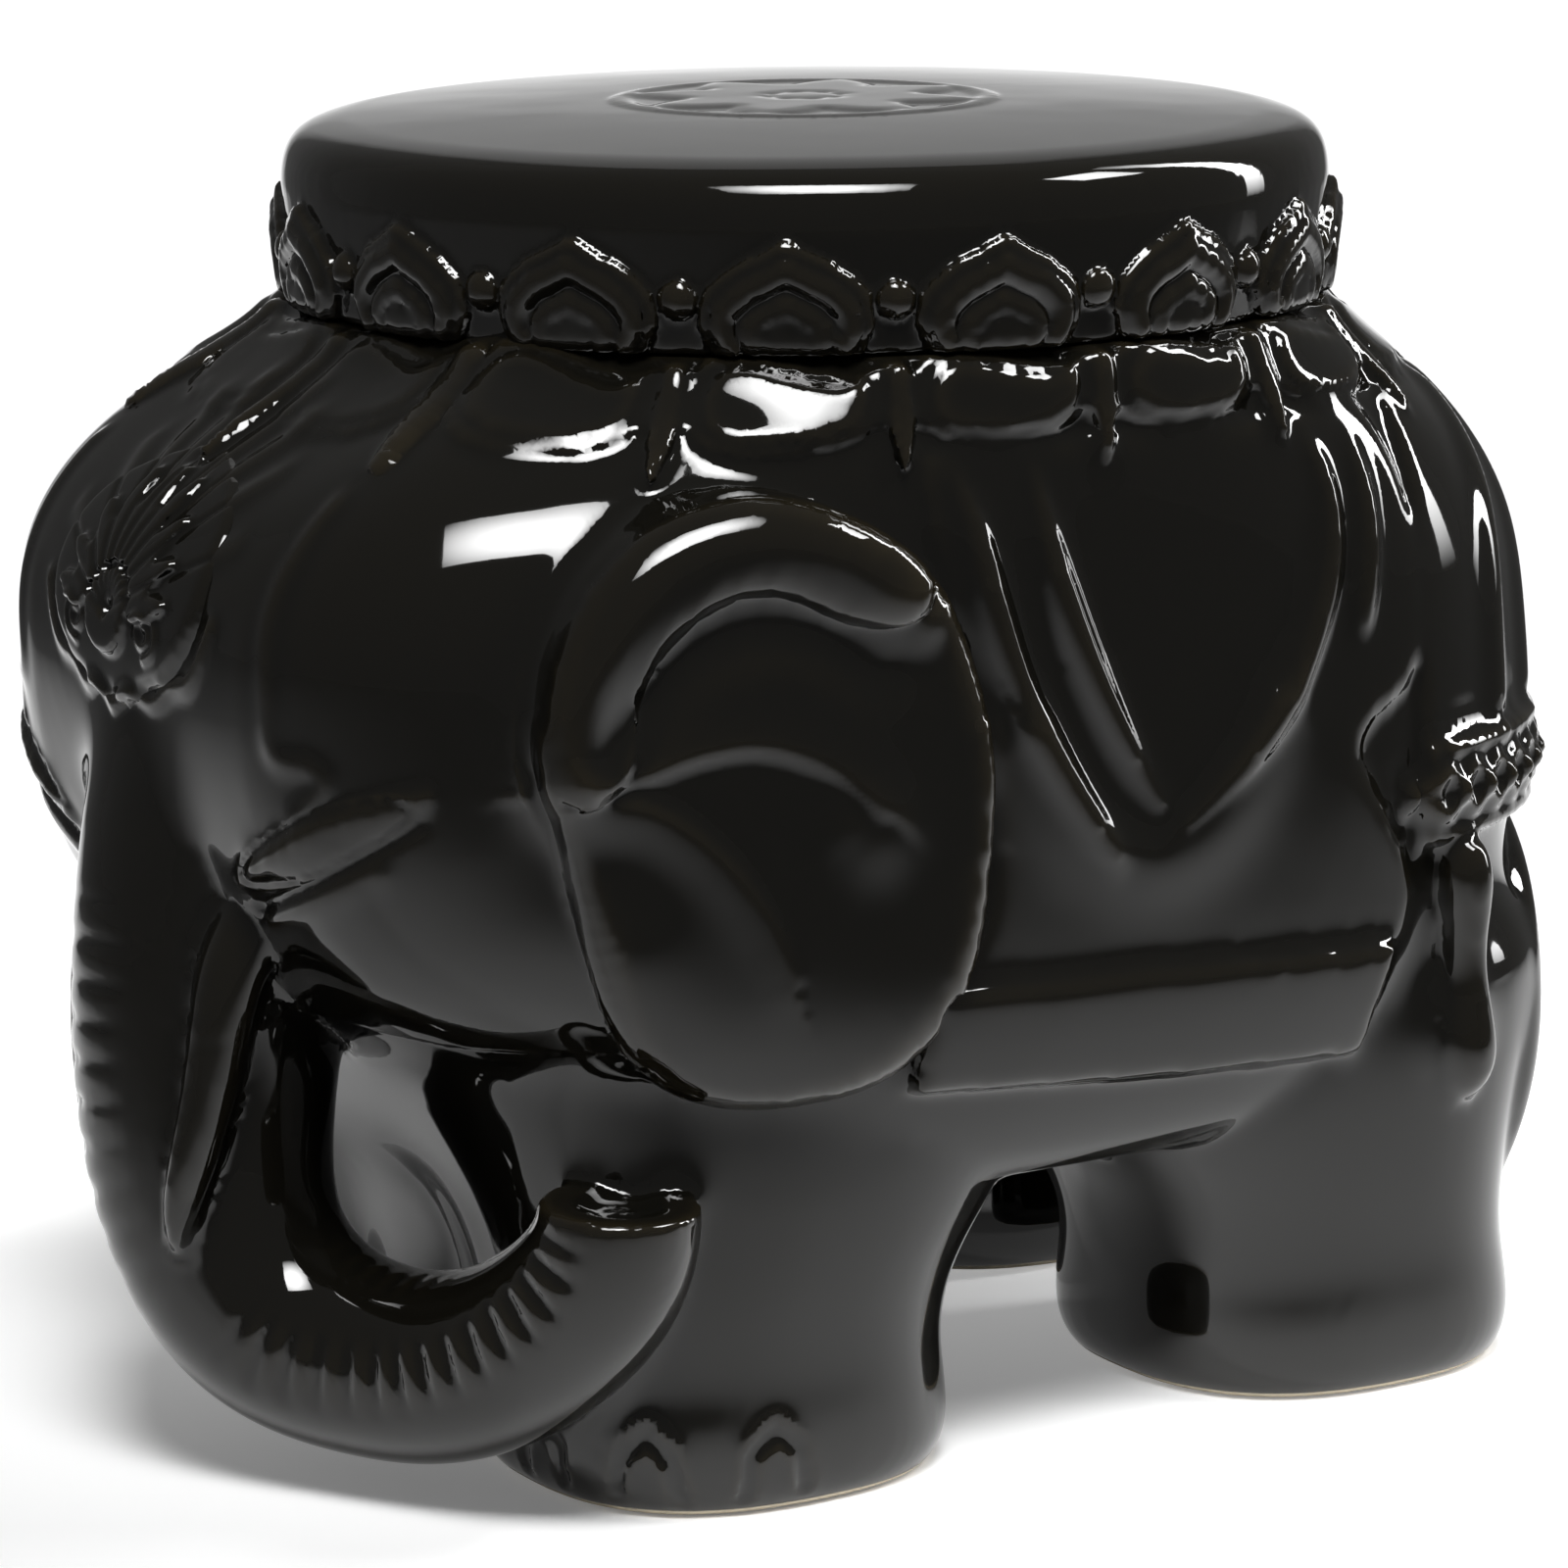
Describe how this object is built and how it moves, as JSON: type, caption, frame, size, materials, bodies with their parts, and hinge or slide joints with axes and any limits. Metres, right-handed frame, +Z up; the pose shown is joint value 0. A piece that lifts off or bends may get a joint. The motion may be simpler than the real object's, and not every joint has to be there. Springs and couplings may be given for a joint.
{
  "type": "garden stool",
  "caption": "Glazed ceramic garden stool in the form of a caparisoned elephant, with a round drum seat, lotus petal band, side ears, saddle blanket and curled trunk.",
  "frame": {"origin": "on the floor, under the middle of the overall length and width", "axes": "+X from head to tail, +Y toward the elephant's right side, +Z up"},
  "size_m": [0.5074, 0.3692, 0.4212],
  "materials": {
    "black_glaze": "high-gloss black glaze over stoneware, thinning to olive brown on raised edges"
  },
  "bodies": {
    "root": {"torso_shell": "black_glaze", "head_shell": "black_glaze", "front_left_leg": "black_glaze", "front_right_leg": "black_glaze", "rear_left_leg": "black_glaze", "rear_right_leg": "black_glaze", "seat_drum": "black_glaze", "seat_top": "black_glaze", "seat_medallion": "black_glaze", "lotus_petal_band": "black_glaze", "collar_pads": "black_glaze", "trunk": "black_glaze", "left_tusk": "black_glaze", "right_tusk": "black_glaze", "left_ear": "black_glaze", "right_ear": "black_glaze", "left_ear_roll": "black_glaze", "right_ear_roll": "black_glaze", "left_blanket_border": "black_glaze", "right_blanket_border": "black_glaze", "left_saddle_blanket": "black_glaze", "right_saddle_blanket": "black_glaze", "left_swag_cords": "black_glaze", "right_swag_cords": "black_glaze", "crupper_band": "black_glaze", "rump_cloth": "black_glaze", "rear_tassels": "black_glaze", "tail": "black_glaze", "headdress_plaque": "black_glaze", "headdress_leaves": "black_glaze", "left_eyelid": "black_glaze", "right_eyelid": "black_glaze", "toenails": "black_glaze", "chest_web": "black_glaze"}
  },
  "joints": []
}
